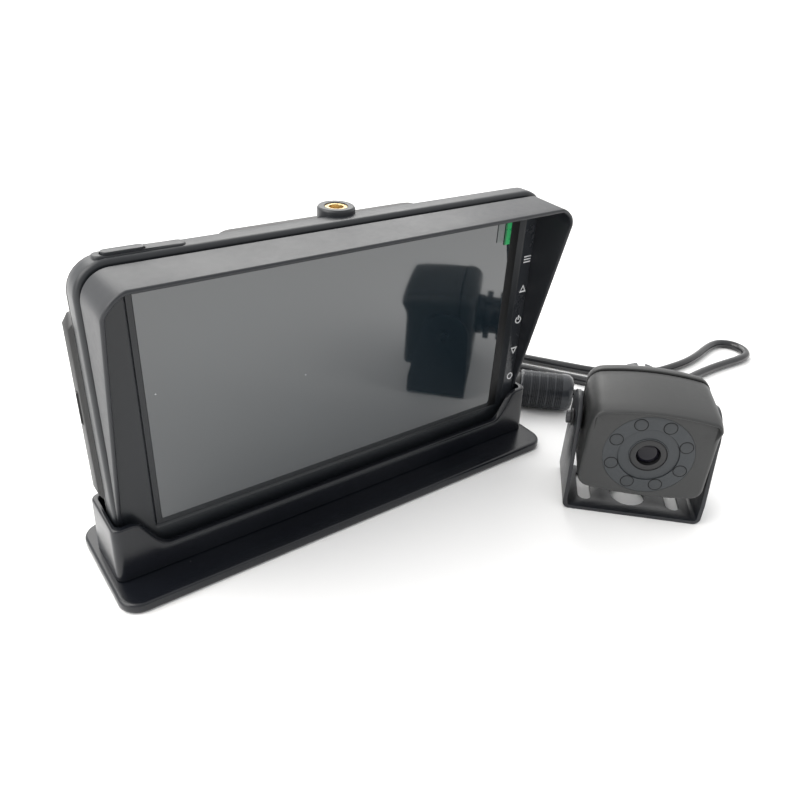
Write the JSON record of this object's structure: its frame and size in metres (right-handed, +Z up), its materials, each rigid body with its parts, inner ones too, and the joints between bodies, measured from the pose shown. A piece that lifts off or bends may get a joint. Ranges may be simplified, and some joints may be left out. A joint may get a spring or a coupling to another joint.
{
  "type": "backup camera kit",
  "caption": "Wide dash monitor with sunshade in its desk stand, with a tilting rear-view camera on a U bracket and its coiled lead and connector.",
  "frame": {"origin": "on the table, at the middle of the stand's base plate underside", "axes": "+X along the monitor's width, +Y towards the monitor's back, +Z up"},
  "size_m": [0.3792, 0.2116, 0.1202],
  "materials": {
    "stand_plastic": "moulded black with a satin bloom",
    "zinc_steel": "zinc plated",
    "bezel_plastic": "fine satin grain",
    "hood_plastic": "fine satin grain",
    "screen": "black glossy panel",
    "sheet_metal": "tinned sheet",
    "white_print": "printed white",
    "circuit_board": "green solder mask",
    "speaker_cone": "black cone and frame",
    "cover_plastic": "fine satin grain",
    "brass": "turned",
    "black_screw": "black oxide",
    "card_plastic": "black",
    "socket_plastic": "black",
    "green_film": "green tape",
    "bracket_paint": "black powder coat",
    "camera_paint": "satin black coat",
    "gasket_rubber": "black",
    "camera_face": "dark grey",
    "lens_black": "black",
    "lens_glass": "dark coated glass",
    "lamp_caps": "smoked",
    "gland_plastic": "black nylon",
    "lead_rubber": "glossy black jacket",
    "tie_fabric": "black hook and loop",
    "ring_metal": "nickel plated, knurled"
  },
  "bodies": {
    "stand": {"base_plate": "stand_plastic", "cradle": "stand_plastic", "cradle_screws": "zinc_steel", "camera_bracket": "bracket_paint", "lead_front": "lead_rubber", "lead_coil": "lead_rubber", "coil_ties": "tie_fabric", "lead_rear": "lead_rubber", "connector_sleeve": "lead_rubber", "connector_body": "gland_plastic", "connector_pins": "brass"},
    "monitor": {"front_bezel": "bezel_plastic", "sunshade_hood": "hood_plastic", "screen_glass": "screen", "lcd_module": "sheet_metal", "key_symbols": "white_print", "touch_board": "circuit_board", "main_board": "circuit_board", "speaker": "speaker_cone", "rear_cover": "cover_plastic", "insert_boss": "cover_plastic", "brass_insert": "brass", "rear_screws": "black_screw", "card_reader": "sheet_metal", "button_switch": "sheet_metal", "power_socket": "socket_plastic", "video_socket": "socket_plastic", "film_tab": "green_film"},
    "button": {"top_button": "bezel_plastic"},
    "card": {"memory_card": "card_plastic"},
    "camera_head": {"head_front_shell": "camera_paint", "head_rear_shell": "camera_paint", "head_gasket": "gasket_rubber", "face_ring": "camera_face", "lens_bezel": "camera_face", "lens_barrel": "lens_black", "lens_glass": "lens_glass", "infrared_lamps": "lamp_caps", "lamp_board": "circuit_board", "sensor_board": "circuit_board", "pivot_inserts": "brass", "pivot_screws": "black_screw", "pivot_washers": "gasket_rubber", "head_screws": "black_screw", "gland_base": "gland_plastic", "gland_nut": "gland_plastic", "gland_bush": "lead_rubber"},
    "lock_ring": {"coupling_ring": "ring_metal"}
  },
  "joints": [
    {"name": "monitor_lift", "type": "slide", "parent": "stand", "child": "monitor", "axis": [0, 0, 1], "range_m": [0, 0.03]},
    {"name": "button_press", "type": "slide", "parent": "monitor", "child": "button", "axis": [0, 0, -1], "range_m": [0, 0.0008], "stiffness_N_per_m": 600, "springref_m": -0.0004},
    {"name": "card_slide", "type": "slide", "parent": "monitor", "child": "card", "axis": [-1, 0, 0], "range_m": [0, 0.014]},
    {"name": "camera_tilt", "type": "hinge", "parent": "stand", "child": "camera_head", "pos_m": [0.10459, -0.06935, 0.0346], "axis": [0.7169, -0.6972, 0], "range_deg": [-25, 25]},
    {"name": "ring_turn", "type": "hinge", "parent": "stand", "child": "lock_ring", "pos_m": [0.135, -0.008, 0.0095], "axis": [-0.7218, 0.6921, 0], "continuous": true}
  ]
}
